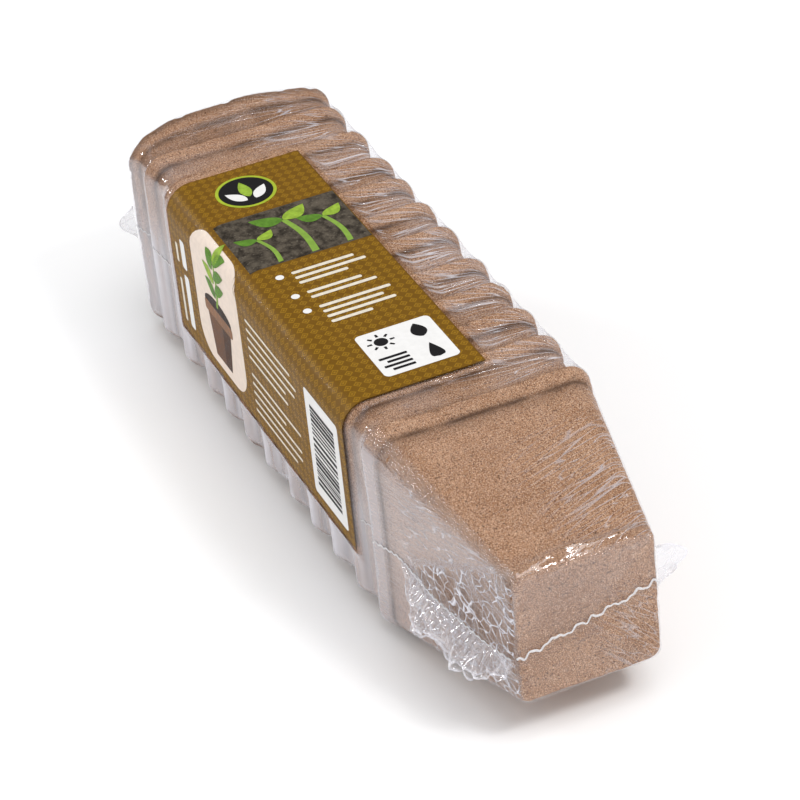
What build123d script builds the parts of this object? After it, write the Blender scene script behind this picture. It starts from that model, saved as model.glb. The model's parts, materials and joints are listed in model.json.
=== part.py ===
from build123d import *
import os

# A pack of square moulded-fibre pots, nested and lying on their lips, in a clear film with a folded card.
# Millimetres, +Z up. +X runs along the stack towards the base of the outermost pot, and -Y is the labelled side.
# The origin is on the floor, under the middle of the pack's box.

# One pot: all twelve are alike. Depths are measured from the rim plane towards the base.
rim_width = 80.0
base_width = 48.8
pot_height = 75.0
wall = 3.0
base_thickness = 3.0
rim_corner = 9.0
base_corner = 5.0
base_edge = 1.2
lip_round = 1.2
lip_edge = 0.8
lip_crest = 4.5
lip_step = 2.0
lip_depth = 8.0

# The nest: walls this far apart would be wedged tight, and each pot stops a little short of that.
nest_gap = 0.35
nest_slack = [4.0, 2.5, 2.5, 2.0, 7.0, 2.0, 2.5, 1.5, 6.5, 5.0, 0.0]

# The film and the card, and the room that each leaves to what lies under it.
film = 0.25
card = 0.3
clearance = 0.2
film_sag = 2.0
film_split = 0.6
film_joint = 0.2
front_bridge = 8.0
front_slack = 0.6

# The card's panels, from the pack's axis, and how far it laps over the lips of its first and last pot.
card_top_edge = 11.3
card_side_edge = 16.5
card_lap = 5.0
card_front_pot = 2
card_rear_pot = 10

# Ears of spare film: heights are from the pack's axis, reaches are out from the film. The left ear starts
# a gap past the lip, and peaks and ends a gap short of the base.
ear_thickness = 0.6
rear_ear_low = -3.0
rear_ear_high = 13.0
rear_ear_reach = 5.5
right_ear_low = 4.0
right_ear_high = 19.0
right_ear_reach = 10.5
left_ear_lip_gap = 12.0
left_ear_peak_gap = 18.0
left_ear_base_gap = 3.0
left_ear_height = -6.0
left_ear_reach = 12.0
left_ear_droop = 6.0
left_ear_thickness = 1.0

# Worked out from the sizes above.
pot_count = len(nest_slack) + 1
taper = (rim_width / 2 - lip_step - base_width / 2) / (pot_height - lip_depth)
wedge_step = (wall + nest_gap) / taper
steps = [wedge_step + slack for slack in nest_slack]
near_side = rim_width / 2 + clearance
card_side = near_side + card + clearance
film_corner = rim_corner + clearance
pack_length = sum(steps) + pot_height + 2 * (clearance + film)
left_reach = card_side + film + rear_ear_reach
right_reach = near_side + film
axis_y = (left_reach - right_reach) / 2
axis_z = near_side + film
front_x = pack_length / 2
first_rim = front_x - film - clearance - pot_height
rims = [first_rim - sum(steps[:index]) for index in range(pot_count)]


def wall_width(depth):
    """Outer width of the tapering wall."""
    return base_width + 2 * taper * (pot_height - depth)


def wall_corner(depth):
    """Corner radius of the tapering wall."""
    return base_corner + (rim_corner - base_corner) * (pot_height - depth) / (pot_height - lip_depth)


def across(x):
    """The plane square to the stack at x, centred on its axis, with Y to the right and Z up."""
    return Plane(origin=(x, axis_y, axis_z), x_dir=(0, 1, 0), z_dir=(1, 0, 0))


def film_outline(x, sag, card_sag, grow):
    """One outline of the film: it sags between lips, on the card's two sides by card_sag."""
    free = near_side - sag + grow
    carded = card_side - card_sag + grow
    shift = (carded - free) / 2
    with BuildSketch(across(x)) as outline:
        with Locations((-shift, shift)):
            RectangleRounded(free + carded, free + carded, film_corner + grow)
    return outline.sketch


def wall_film_outline(x, depth, slack, grow):
    """One outline of the film where it lies along the outermost pot's wall."""
    width = wall_width(depth) + 2 * (slack + grow)
    with BuildSketch(across(x)) as outline:
        RectangleRounded(width, width, wall_corner(depth) + slack + grow)
    return outline.sketch


os.makedirs("parts", exist_ok=True)

# Depth, width and corner of each outline that a pot's outside is lofted through.
crest_end = lip_round + lip_crest
pot_outside = [
    (0, rim_width - 2 * lip_edge, rim_corner - lip_edge),
    (lip_round, rim_width, rim_corner),
    (crest_end, rim_width, rim_corner),
    (lip_depth, wall_width(lip_depth), wall_corner(lip_depth)),
    (pot_height - base_edge, wall_width(pot_height - base_edge), wall_corner(pot_height - base_edge)),
    (pot_height, wall_width(pot_height) - 2 * base_edge, base_corner - base_edge / 2),
]
inside_end = pot_height - base_thickness
pot_inside = [
    (0, wall_width(0) - 2 * wall, wall_corner(0) - wall / 2),
    (inside_end, wall_width(inside_end) - 2 * wall, wall_corner(inside_end) - wall / 2),
]

for index, rim in enumerate(rims):
    with BuildPart() as pot:
        for depth, width, corner in pot_outside:
            with BuildSketch(across(rim + depth)):
                RectangleRounded(width, width, corner)
        loft(ruled=True)
        for depth, width, corner in pot_inside:
            with BuildSketch(across(rim + depth)):
                RectangleRounded(width, width, corner)
        loft(ruled=True, mode=Mode.SUBTRACT)
    pot.part.label = f"pot_{index + 1:02d}"
    export_step(pot.part, f"parts/{pot.part.label}.step")

# The folded card, lying on the lips along the upper left edge of the pack.
card_front = rims[card_front_pot - 1] + card_lap
card_rear = rims[card_rear_pot - 1] + card_lap
with BuildPart() as label_card:
    with BuildSketch(across(card_rear)):
        RectangleRounded(2 * (near_side + card), 2 * (near_side + card), rim_corner + clearance + card)
        RectangleRounded(2 * near_side, 2 * near_side, rim_corner + clearance, mode=Mode.SUBTRACT)
        with Locations((card_top_edge, -card_side_edge)):
            Rectangle(rim_width, rim_width, align=(Align.MAX, Align.MIN), mode=Mode.INTERSECT)
    extrude(amount=card_front - card_rear)
label_card.part.label = "label_card"
export_step(label_card.part, "parts/label_card.step")

# A band of film for each inner pot: over its lip, down into the groove and up to the next lip.
for index in range(1, pot_count):
    number = index + 1
    start = rims[index] + film_split
    end = rims[index - 1] + film_split - film_joint
    groove = (rims[index] + lip_depth + rims[index - 1]) / 2
    carded = card_front_pot <= number <= card_rear_pot
    card_sag = 0 if carded else film_sag
    with BuildPart() as band:
        for grow, mode in ((film, Mode.ADD), (0, Mode.SUBTRACT)):
            outlines = [
                film_outline(start, 0, 0, grow),
                film_outline(rims[index] + crest_end, 0, 0, grow),
                film_outline(groove, film_sag, card_sag, grow),
                film_outline(end, 0, 0, grow),
            ]
            loft(outlines, ruled=True, mode=mode)
    band.part.label = f"film_band_{number:02d}"
    export_step(band.part, f"parts/{band.part.label}.step")

# The front of the film: over the outermost pot's lip, along its walls and across its base, with two ears.
bridge_depth = lip_depth + front_bridge
left_ear_from = lip_depth + left_ear_lip_gap
left_ear_peak = pot_height - left_ear_peak_gap
left_ear_to = pot_height - left_ear_base_gap
ear_wall = wall_width(left_ear_peak) / 2


def front_outlines(grow, end):
    """Outlines of the front film's outside or inside, from the outermost lip to the base."""
    return [
        film_outline(rims[0] + film_split, 0, 0, grow),
        film_outline(rims[0] + crest_end, 0, 0, grow),
        wall_film_outline(rims[0] + bridge_depth, bridge_depth, clearance + front_slack, grow),
        wall_film_outline(end, pot_height, clearance, grow),
    ]


with BuildPart() as film_front:
    loft(front_outlines(film, front_x), ruled=True)
    with BuildSketch(across(front_x)):
        with BuildLine():
            Polyline(
                (0, right_ear_low),
                (base_width / 2, right_ear_low),
                (base_width / 2 + right_ear_reach, (right_ear_low + right_ear_high) / 2),
                (base_width / 2, right_ear_high),
                (0, right_ear_high),
                close=True,
            )
        make_face()
    extrude(amount=-ear_thickness)
    ear_plane = Plane(
        origin=(rims[0], axis_y, axis_z + left_ear_height),
        x_dir=(1, 0, 0),
        z_dir=(0, left_ear_droop, -left_ear_reach),
    )
    with BuildSketch(ear_plane):
        with BuildLine():
            Polyline(
                (left_ear_from, 0),
                (left_ear_from, wall_width(left_ear_from) / 2),
                (left_ear_peak, ear_wall + left_ear_reach),
                (left_ear_to, wall_width(left_ear_to) / 2),
                (left_ear_to, 0),
                close=True,
            )
        make_face()
    extrude(amount=left_ear_thickness / 2, both=True)
    loft(front_outlines(0, front_x - film), ruled=True, mode=Mode.SUBTRACT)
film_front.part.label = "film_front"
export_step(film_front.part, "parts/film_front.step")

# The rear of the film: stretched across the open mouth, with one ear on the labelled side.
rear_end = rims[-1] + film_split - film_joint
rear_face = rims[-1] - clearance
with BuildPart() as film_end:
    loft([film_outline(rear_face - film, 0, 0, film), film_outline(rear_end, 0, 0, film)], ruled=True)
    with BuildSketch(across(rear_face - film)):
        with BuildLine():
            Polyline(
                (0, rear_ear_low),
                (-card_side - film, rear_ear_low),
                (-card_side - film - rear_ear_reach, (rear_ear_low + rear_ear_high) / 2),
                (-card_side - film, rear_ear_high),
                (0, rear_ear_high),
                close=True,
            )
        make_face()
    extrude(amount=ear_thickness)
    inside = [film_outline(rear_face, 0, 0, 0), film_outline(rear_end, 0, 0, 0)]
    loft(inside, ruled=True, mode=Mode.SUBTRACT)
film_end.part.label = "film_end"
export_step(film_end.part, "parts/film_end.step")
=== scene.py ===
"""Looks of a shrink-wrapped pack of nested fibre pots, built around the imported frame. Metres, +Z up."""
import json
import math

import bpy
import numpy as np
from mathutils import Matrix, Vector


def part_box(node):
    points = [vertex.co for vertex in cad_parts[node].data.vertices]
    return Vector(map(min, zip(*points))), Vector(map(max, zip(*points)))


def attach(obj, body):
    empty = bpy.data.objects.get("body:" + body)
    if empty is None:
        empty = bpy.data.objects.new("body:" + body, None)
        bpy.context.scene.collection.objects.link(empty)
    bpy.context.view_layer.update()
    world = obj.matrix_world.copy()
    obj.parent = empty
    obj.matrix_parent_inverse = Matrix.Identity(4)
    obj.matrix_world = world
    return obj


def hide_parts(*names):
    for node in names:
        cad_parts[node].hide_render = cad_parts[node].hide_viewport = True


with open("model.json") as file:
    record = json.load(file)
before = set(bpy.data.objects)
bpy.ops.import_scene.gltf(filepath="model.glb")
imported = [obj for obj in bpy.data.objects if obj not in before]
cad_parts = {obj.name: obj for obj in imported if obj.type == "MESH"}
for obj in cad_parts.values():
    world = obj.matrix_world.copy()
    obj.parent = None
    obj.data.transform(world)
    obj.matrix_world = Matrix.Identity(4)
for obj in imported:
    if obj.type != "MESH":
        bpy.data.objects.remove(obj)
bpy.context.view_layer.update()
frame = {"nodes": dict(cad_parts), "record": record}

MM = 0.001

# Places that the frame gives
POT_NODES = sorted(name for name in frame["nodes"] if name.startswith("pot_"))
RIMS = [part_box(name)[0].x for name in POT_NODES]
FIRST_LOW, FIRST_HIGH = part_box("pot_01")
AXIS_Y = (FIRST_LOW.y + FIRST_HIGH.y) / 2
AXIS_Z = (FIRST_LOW.z + FIRST_HIGH.z) / 2
HALF = (FIRST_HIGH.y - FIRST_LOW.y) / 2
HEIGHT = FIRST_HIGH.x - FIRST_LOW.x
BASE_X = FIRST_HIGH.x
CARD_LOW, CARD_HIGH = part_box("label_card")
FILM_LEFT = AXIS_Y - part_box("film_band_05")[0].y
BODY_OF = {node: body for body, nodes in frame["record"]["behaviour"]["bodies"].items() for node in nodes}

# Sizes of a pot: the solids' own, but with crisper corners at the base and a sharper crest
BASE_HALF = 24.4 * MM
LIP_STEP = 2.0 * MM
LIP_DEPTH = 8.0 * MM
CREST = 0.9 * MM
WALL = 3.0 * MM
BASE_THICKNESS = 3.0 * MM
RIM_CORNER = 9.0 * MM
BASE_CORNER = 3.8 * MM
TAPER = (HALF - LIP_STEP - BASE_HALF) / (HEIGHT - LIP_DEPTH)

# The photograph's viewpoint, fitted to the rims and the base
CAMERA_AZIMUTH = 69.278
CAMERA_ELEVATION = 34.267
CAMERA_ROLL = -6.125
CAMERA_DISTANCE = 1.12388
CAMERA_TARGET = Vector((3.57 * MM, AXIS_Y, 38.5 * MM))
CAMERA_LENS_MM = 148.07


def smooth(low, high, value):
    """Smooth step from 0 at low to 1 at high."""
    t = np.clip((value - low) / (high - low), 0, 1)
    return t * t * (3 - 2 * t)


def columns(*parts):
    """Points from their coordinates, each a number for all of them or one number per point."""
    return np.column_stack(np.broadcast_arrays(*parts))


# Odd numbers that scramble the cells of the noise
CELL_KEYS = np.array([374761393, 668265263, 2147483647])
SCRAMBLE = 1274126177


def noise(points, cell, seed):
    """Smooth noise from -1 to 1 at each point, in cells of the given size."""
    place = np.asarray(points, float) / cell
    base = np.floor(place).astype(np.int64)
    part = place - base
    part = part * part * (3 - 2 * part)
    total = np.zeros(len(place))
    for corner in range(8):
        step = np.array([corner & 1, corner >> 1 & 1, corner >> 2 & 1])
        mixed = (base + step) @ CELL_KEYS + seed * SCRAMBLE
        mixed = (mixed ^ (mixed >> 13)) * SCRAMBLE
        mixed = (mixed ^ (mixed >> 16)) & 0xFFFFFF
        weight = np.prod(np.where(step, part, 1 - part), axis=1)
        total += weight * (mixed / 0x7FFFFF - 1)
    return total


class SquareRing:
    """Samples round a rounded square, clockwise from its upper left corner as seen from the base end."""

    def __init__(self, side_points, arc_points):
        flat, arc = [], []
        for quarter in range(4):
            turn = np.linalg.matrix_power(np.array([[0, 1], [-1, 0]]), quarter)
            for i in range(side_points):
                flat.append(turn @ (-1 + 2 * i / side_points, 1))
                arc.append(turn @ (0, 1))
            for i in range(arc_points):
                angle = math.pi / 2 * (1 - i / arc_points)
                flat.append(turn @ (1, 1))
                arc.append(turn @ (math.cos(angle), math.sin(angle)))
        self.flat = np.array(flat, float)
        self.out = np.array(arc, float)
        self.count = len(flat)

    def points(self, x, half, corner, lift=0.0):
        """The ring's points at x, pushed outwards by lift, which may differ from sample to sample."""
        yz = self.flat * (half - corner) + self.out * (corner + np.reshape(lift, (-1, 1)))
        return columns(x, yz[:, 0] + AXIS_Y, yz[:, 1] + AXIS_Z)


def link_mesh(name, points, faces):
    """A smooth-shaded object of points and faces, in the scene."""
    mesh = bpy.data.meshes.new(name)
    mesh.from_pydata(np.asarray(points).tolist(), [], faces)
    mesh.polygons.foreach_set("use_smooth", [True] * len(mesh.polygons))
    mesh.update()
    piece = bpy.data.objects.new(name, mesh)
    bpy.context.scene.collection.objects.link(piece)
    return piece


def grid_faces(count, across, around, first=0):
    """Quads through rows of points, joined round if around, the first point having the given number."""
    i, j = np.meshgrid(np.arange(count - 1), np.arange(across if around else across - 1), indexing="ij")
    k = (j + 1) % across
    quads = np.stack([i * across + j, i * across + k, (i + 1) * across + k, (i + 1) * across + j], -1)
    return (quads.reshape(-1, 4) + first).tolist()


def grid_mesh(name, rows, around=True, first_cap=False, last_cap=False):
    """A mesh through rows of points, joined round if around, with fans to the middle as caps."""
    rows = np.asarray(rows)
    count, across = rows.shape[:2]
    points = rows.reshape(-1, 3)
    faces = grid_faces(count, across, around)
    for wanted, row, flip in ((first_cap, 0, True), (last_cap, count - 1, False)):
        if wanted:
            middle = len(points)
            points = np.vstack([points, rows[row].mean(0)])
            for a in range(across):
                one, two = row * across + a, row * across + (a + 1) % across
                faces.append([two, one, middle] if flip else [one, two, middle])
    return link_mesh(name, points, faces)


def sheets_mesh(name, sheets):
    """One mesh of several open sheets, each of rows of points."""
    points, faces = [], []
    for rows in sheets:
        faces += grid_faces(*rows.shape[:2], False, sum(len(p) for p in points))
        points.append(rows.reshape(-1, 3))
    return link_mesh(name, np.concatenate(points), faces)


def vertex_values(piece, name):
    """The points of a piece's mesh, or their normals."""
    flat = np.zeros(len(piece.data.vertices) * 3)
    piece.data.vertices.foreach_get(name, flat)
    return flat.reshape(-1, 3)


def set_points(piece, points):
    """Puts the points of a piece's mesh back."""
    piece.data.vertices.foreach_set("co", np.asarray(points, float).ravel())
    piece.data.update()


def paint(piece, name, values):
    """Stores a number or a vector per point for the materials to read."""
    values = np.asarray(values, float)
    kind, field = ("FLOAT", "value") if values.ndim == 1 else ("FLOAT_VECTOR", "vector")
    layer = piece.data.attributes.new(name, kind, "POINT")
    layer.data.foreach_set(field, values.ravel())


# Materials


class Nodes:
    """Short calls for building the node tree of a material or a world."""

    def __init__(self, owner, output="ShaderNodeOutputMaterial"):
        owner.use_nodes = True
        self.owner, self.tree = owner, owner.node_tree
        self.tree.nodes.clear()
        self.output = self.add(output)

    def fill(self, socket, value):
        if isinstance(value, bpy.types.NodeSocket):
            self.tree.links.new(value, socket)
        else:
            socket.default_value = value

    def add(self, kind, inputs=None, **settings):
        node = self.tree.nodes.new(kind)
        for key, value in settings.items():
            setattr(node, key, value)
        for key, value in (inputs or {}).items():
            self.fill(node.inputs[key], value)
        return node

    def math(self, operation, *values, clamp=False):
        inputs = dict(enumerate(values))
        return self.add("ShaderNodeMath", inputs, operation=operation, use_clamp=clamp).outputs[0]

    def attribute(self, name, output="Fac"):
        return self.add("ShaderNodeAttribute", attribute_name=name).outputs[output]

    def position(self):
        return self.add("ShaderNodeTexCoord").outputs["Object"]

    def noise(self, vector, scale, detail=3.0, roughness=0.55, output="Fac"):
        inputs = {"Vector": vector, "Scale": scale, "Detail": detail, "Roughness": roughness}
        return self.add("ShaderNodeTexNoise", inputs).outputs[output]

    def voronoi(self, vector, scale, feature="F1"):
        inputs = {"Vector": vector, "Scale": scale}
        return self.add("ShaderNodeTexVoronoi", inputs, feature=feature).outputs["Distance"]

    def ramp(self, value, low, high, from_value=0.0, to_value=1.0):
        inputs = dict(enumerate((value, low, high, from_value, to_value)))
        return self.add("ShaderNodeMapRange", inputs, interpolation_type="SMOOTHSTEP").outputs["Result"]

    def mix(self, factor, one, two):
        return self.add("ShaderNodeMix", {"Factor": factor, 6: one, 7: two}, data_type="RGBA").outputs[2]

    def bump(self, height, strength, distance):
        inputs = {"Height": height, "Strength": strength, "Distance": distance}
        return self.add("ShaderNodeBump", inputs).outputs["Normal"]

    def principled(self, colour, roughness, specular=0.1, **more):
        inputs = {"Base Color": colour, "Roughness": roughness, "Specular IOR Level": specular, **more}
        return self.add("ShaderNodeBsdfPrincipled", inputs).outputs[0]

    def plain(self, kind, colour, **more):
        return self.add(f"ShaderNodeBsdf{kind}", {"Color": (*colour, 1), **more}).outputs[0]

    def mix_shaders(self, factor, one, two):
        return self.add("ShaderNodeMixShader", {0: factor, 1: one, 2: two}).outputs[0]

    def finish(self, surface):
        self.fill(self.output.inputs["Surface"], surface)
        return self.owner


def new_material(name):
    """The nodes of a new material."""
    return Nodes(bpy.data.materials.new(name))


def fibre_material():
    """Moulded peat and wood fibre: brown, with dark and pale flecks and short strands, dull and rough,
    darkened by painted shade in its grooves and under its lips.
    """
    n = new_material("fibre")
    place = n.position()
    cloudy = n.noise(place, 45, 4)
    patchy = n.noise(place, 130, 3)
    fine = n.noise(place, 1800, 4, 0.75)
    grain = n.noise(place, 3000, 2)
    ground = n.mix(n.ramp(cloudy, 0.3, 0.7), (0.41, 0.205, 0.10, 1), (0.57, 0.325, 0.19, 1))
    ground = n.mix(n.ramp(patchy, 0.4, 0.7, 0.0, 0.45), ground, (0.40, 0.19, 0.085, 1))
    ground = n.mix(n.ramp(fine, 0.38, 0.57), (0.18, 0.078, 0.037, 1), ground)
    ground = n.mix(n.math("MULTIPLY", n.ramp(grain, 0.51, 0.65), 0.85), ground, (0.86, 0.60, 0.42, 1))
    for turn, scale in (((0.5, 0.4, 0.7), 1500), ((1.2, 0.9, 2.1), 1300)):
        stretch = n.add("ShaderNodeMapping", {"Vector": place, "Rotation": turn, "Scale": (1.0, 0.16, 1.0)})
        strand = n.ramp(n.noise(stretch.outputs["Vector"], scale, 2, 0.5), 0.66, 0.75)
        ground = n.mix(n.math("MULTIPLY", strand, 0.8), ground, (0.12, 0.058, 0.03, 1))
    fleck = n.ramp(n.voronoi(place, 560), 0.10, 0.22, 1.0, 0.0)
    fleck = n.math("MULTIPLY", fleck, n.ramp(n.noise(place, 230, 1), 0.48, 0.56))
    ground = n.mix(n.math("MULTIPLY", fleck, 0.8), ground, (0.06, 0.03, 0.017, 1))
    # Painted shade: darkens the fibre in its grooves, under its lips and under the ear; torn spots at the rim
    # are darkened too
    ground = n.mix(n.attribute("painted_shade_and_tears"), ground, (0.085, 0.04, 0.02, 1))
    height = n.math("ADD", n.math("MULTIPLY", fine, 0.6), n.math("MULTIPLY", grain, 0.4))
    rough = n.ramp(fine, 0.2, 0.8, 0.85, 0.98)
    return n.finish(n.principled(ground, rough, 0.15, Normal=n.bump(height, 0.8, 0.001)))


def film_material():
    """Thin clear film: mirrors at a slant, a little cloudy, with fine creases that show as pale threads; on
    the labelled side its white is partly a painted reflection of the pale floor.
    """
    n = new_material("film")
    flow = n.attribute("flow", "Vector")
    bend = n.noise(flow, 0.55, 2, 0.5, "Color")
    inputs = {0: bend, 1: (0.88, 0.88, 0.88), 2: flow}
    bent = n.add("ShaderNodeVectorMath", inputs, operation="MULTIPLY_ADD")
    creases = n.voronoi(bent.outputs[0], 1.0, "DISTANCE_TO_EDGE")
    width = n.ramp(n.noise(flow, 0.4, 2), 0.32, 0.68, 0.025, 0.12)
    threads = n.ramp(n.math("DIVIDE", creases, width), 0.0, 1.0, 1.0, 0.0)
    threads = n.math("MULTIPLY", threads, n.attribute("net"))
    ripple = n.noise(flow, 0.9, 3, 0.6)
    height = n.math("ADD", n.math("MULTIPLY", threads, 1.3), ripple)
    normal = n.bump(height, 0.45, 0.0008)
    facing = n.add("ShaderNodeLayerWeight", {"Blend": 0.5, "Normal": normal})
    slant = n.math("POWER", facing.outputs["Facing"], 3.0)
    mirror = n.math("MULTIPLY_ADD", slant, 0.8, 0.05)
    mirror = n.math("MULTIPLY", mirror, n.attribute("gloss"), clamp=True)
    clear = n.plain("Transparent", (0.985, 0.985, 0.99))
    shine = n.plain("Glossy", (0.96, 0.955, 0.98), Roughness=0.07, Normal=normal)
    milk = n.plain("Diffuse", (0.80, 0.79, 0.85))
    veil = n.math("ADD", n.attribute("haze"), n.math("MULTIPLY", threads, 0.85), clamp=True)
    return n.finish(n.mix_shaders(mirror, n.mix_shaders(veil, clear, milk), shine))


def weld_material():
    """The film's hot-cut weld: thick, cloudy white and glossy."""
    n = new_material("weld")
    cloud = n.noise(n.position(), 900, 2)
    white = n.mix(cloud, (0.70, 0.69, 0.70, 1), (0.92, 0.92, 0.94, 1))
    bead = n.principled(white, n.ramp(cloud, 0.3, 0.7, 0.12, 0.3), 0.5)
    return n.finish(n.mix_shaders(0.62, n.plain("Transparent", (1, 1, 1)), bead))


def card_material():
    """Satin card printed golden brown, with a lattice of small paler diamonds."""
    n = new_material("card")
    sheet = n.add("ShaderNodeSeparateXYZ", {0: n.attribute("sheet", "Vector")})
    lattice = []
    for axis in ("X", "Y"):
        share = n.math("FRACT", n.math("DIVIDE", sheet.outputs[axis], 3.6))
        lattice.append(n.math("ABSOLUTE", n.math("SUBTRACT", share, 0.5)))
    diamond = n.math("ADD", *lattice)
    ring = n.math("ABSOLUTE", n.math("SUBTRACT", diamond, 0.36))
    mark = n.ramp(ring, 0.05, 0.10, 1.0, 0.0)
    mark = n.math("MAXIMUM", mark, n.ramp(diamond, 0.13, 0.18, 1.0, 0.0))
    worn = n.noise(n.position(), 160, 3)
    ground = n.mix(mark, (0.165, 0.078, 0.004, 1), (0.295, 0.155, 0.009, 1))
    ground = n.mix(n.ramp(worn, 0.35, 0.75, 0.0, 0.12), ground, (0.28, 0.14, 0.015, 1))
    return n.finish(n.principled(ground, n.ramp(worn, 0.3, 0.7, 0.42, 0.52)))


def print_material(name, colour, speckle):
    """Flat ink, a little uneven."""
    n = new_material(f"print_{name}")
    uneven = n.noise(n.position(), 420, 2)
    darker = tuple(channel * (1 - 2.5 * speckle) for channel in colour) + (1,)
    ground = n.mix(n.ramp(uneven, 0.3, 0.7), darker, (*colour, 1))
    return n.finish(n.principled(ground, n.ramp(uneven, 0.3, 0.7, 0.42, 0.52)))


def soil_print_material():
    """A printed picture of crumbly dark soil."""
    n = new_material("print_soil")
    place = n.position()
    clod = n.noise(place, 330, 4, 0.65)
    crumb = n.voronoi(place, 620)
    ground = n.mix(n.ramp(clod, 0.3, 0.68), (0.022, 0.017, 0.012, 1), (0.115, 0.095, 0.07, 1))
    ground = n.mix(n.ramp(crumb, 0.06, 0.3, 0.55, 0.0), ground, (0.19, 0.165, 0.125, 1))
    return n.finish(n.principled(ground, 0.45))


FIBRE = fibre_material()
FILM = film_material()
WELD = weld_material()
CARD = card_material()

# Colour and speckle of each ink
INKS = {
    "white": ((0.84, 0.83, 0.81), 0.02),
    "cream": ((0.85, 0.72, 0.61), 0.03),
    "pale": ((0.80, 0.74, 0.62), 0.06),
    "black": ((0.014, 0.013, 0.014), 0.06),
    "lime": ((0.40, 0.50, 0.035), 0.06),
    "leaf": ((0.12, 0.27, 0.03), 0.12),
    "bright_leaf": ((0.33, 0.50, 0.05), 0.12),
    "stem": ((0.24, 0.40, 0.06), 0.06),
    "clay": ((0.17, 0.075, 0.035), 0.14),
    "clay_light": ((0.30, 0.15, 0.075), 0.12),
    "clay_shade": ((0.085, 0.037, 0.018), 0.14),
    "clay_inside": ((0.035, 0.016, 0.009), 0.14),
}
PRINTS = {name: print_material(name, *ink) for name, ink in INKS.items()}
PRINTS["soil"] = soil_print_material()


def dress(piece, material, body, slot, *nodes):
    """Gives a piece its material and its body, and hides the nodes that it stands for; the slot is not used.
    """
    piece.data.materials.append(material)
    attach(piece, body)
    if nodes:
        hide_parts(*nodes)


# Pots


# Depth and half width of the rolled lip, in mm, from the wall over its crest and in
LIP = (
    (11.0, 37.35), (9.4, 37.55), (8.0, 37.75), (7.0, 37.85), (6.5, 38.0), (6.1, 38.25), (5.7, 38.6),
    (5.2, 38.9), (4.4, 39.15), (3.4, 39.4), (2.4, 39.65), (1.6, 39.85), (0.9, 40.0), (0.45, 39.95),
    (0.15, 39.7), (0.0, 39.2), (0.05, 38.3), (0.3, 37.3), (0.9, 36.6),
)


def wall_half(depth):
    """Half the outer width of a pot's tapering wall."""
    return BASE_HALF + TAPER * (HEIGHT - depth)


def wall_corner(depth):
    """Corner radius of a pot's tapering wall."""
    return BASE_CORNER + (RIM_CORNER - BASE_CORNER) * (HEIGHT - depth) / (HEIGHT - LIP_DEPTH)


# Depth and half width of film that lies on a pot, in mm
FILM_REST = ((0.9, 40), (2.4, 39.65), (4.4, 39.15), (9.5, 37.75), (75, 24.4))


def film_rest(depth):
    """Half the width at which film lies on a pot: down its lip, over its groove and along its wall."""
    return np.interp(depth / MM, *zip(*FILM_REST)) * MM


def pot_profile():
    """Depth, half width and corner of each ring, from the middle of the base over the lip and in."""
    rings = []
    for share in (0.06, 0.2, 0.36, 0.52, 0.68, 0.82, 0.92):
        sink = 0.5 * MM * (1 - share ** 2)
        rings.append((HEIGHT - sink, share * BASE_HALF, share * BASE_CORNER))
    for depth, inset in ((0.0, 1.3), (0.25, 0.65), (0.8, 0.2), (1.6, 0.0)):
        rings.append((HEIGHT - depth * MM, wall_half(HEIGHT - depth * MM) - inset * MM, BASE_CORNER))
    for depth in np.linspace(HEIGHT - 3 * MM, 13 * MM, 40):
        rings.append((depth, wall_half(depth), wall_corner(depth)))
    for depth, half in LIP:
        rings.append((depth * MM, half * MM, RIM_CORNER - (40 - half) * 0.5 * MM))
    floor = HEIGHT - BASE_THICKNESS
    for depth in np.linspace(2.5 * MM, floor, 20):
        rings.append((depth, wall_half(depth) - WALL, max(wall_corner(depth) - WALL / 2, 2 * MM)))
    inner = wall_half(floor) - WALL
    for share in (0.93, 0.8, 0.6, 0.4, 0.2, 0.06):
        rings.append((floor, share * inner, share * 3 * MM))
    return rings


POT_RING = SquareRing(side_points=44, arc_points=12)
LIP_REACH = 16 * MM


# The weld on the labelled side, in mm: how far past the outermost rim, and how high
WELD_ROUTE = (
    (-217, 44), (-199, 43), (-178, 37), (-100, 37), (-5, 38), (14, 39.5), (34, 37), (60, 35), (75, 34),
)


def weld_height(x):
    """Height of the weld on the labelled side, which wanders and is toothed like a hot-cut edge."""
    past_rim = (np.asarray(x) - RIMS[0]) / MM
    along, heights = zip(*WELD_ROUTE)
    height = np.interp(past_rim, along, heights)
    tooth = np.abs(past_rim / 2.7 % 1 - 0.5) * 1.6 - 0.4
    return (height + tooth) * MM


def net_area(depth, height):
    """1 where slack film lies in a net of creases over the outermost pot's left wall, 0 elsewhere."""
    above = (height - weld_height(RIMS[0] + depth)) / MM
    limit = np.interp(depth / MM, (18, 75), (2, 34))
    return smooth(limit + 6, limit - 6, above) * smooth(14 * MM, 30 * MM, depth)


# The rearmost lip: its upper edge's arch, the drop of the left corner, and how far its corners lean
REAR_ARCH = 3.6 * MM
REAR_DROP = 2.2 * MM
REAR_RIGHT_LEAN = 3.2 * MM
REAR_LEFT_LEAN = 1.0 * MM


def rear_warp(points):
    """The rearmost lip is bowed: its upper edge arches up, and its upper corners lean forward."""
    near = smooth(RIMS[-1] + 15.5 * MM, RIMS[-1] + 1 * MM, points[:, 0])
    y = (points[:, 1] - AXIS_Y) / HALF
    z = (points[:, 2] - AXIS_Z) / HALF
    upper = smooth(0.2, 1.0, z)
    arch = np.cos(np.clip(y, -1, 1) * math.pi / 2) ** 0.8
    moved = points.copy()
    moved[:, 2] += near * upper * (REAR_ARCH * arch - REAR_DROP * smooth(-0.55, -1.0, y))
    lean = REAR_RIGHT_LEAN * smooth(0.2, 1.0, y) + REAR_LEFT_LEAN * smooth(-0.4, -1.0, y)
    moved[:, 0] += near * upper * lean
    return moved


def pot_seed(index):
    """The first seed of a pot's own noises."""
    return 11 + 7 * index


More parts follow.
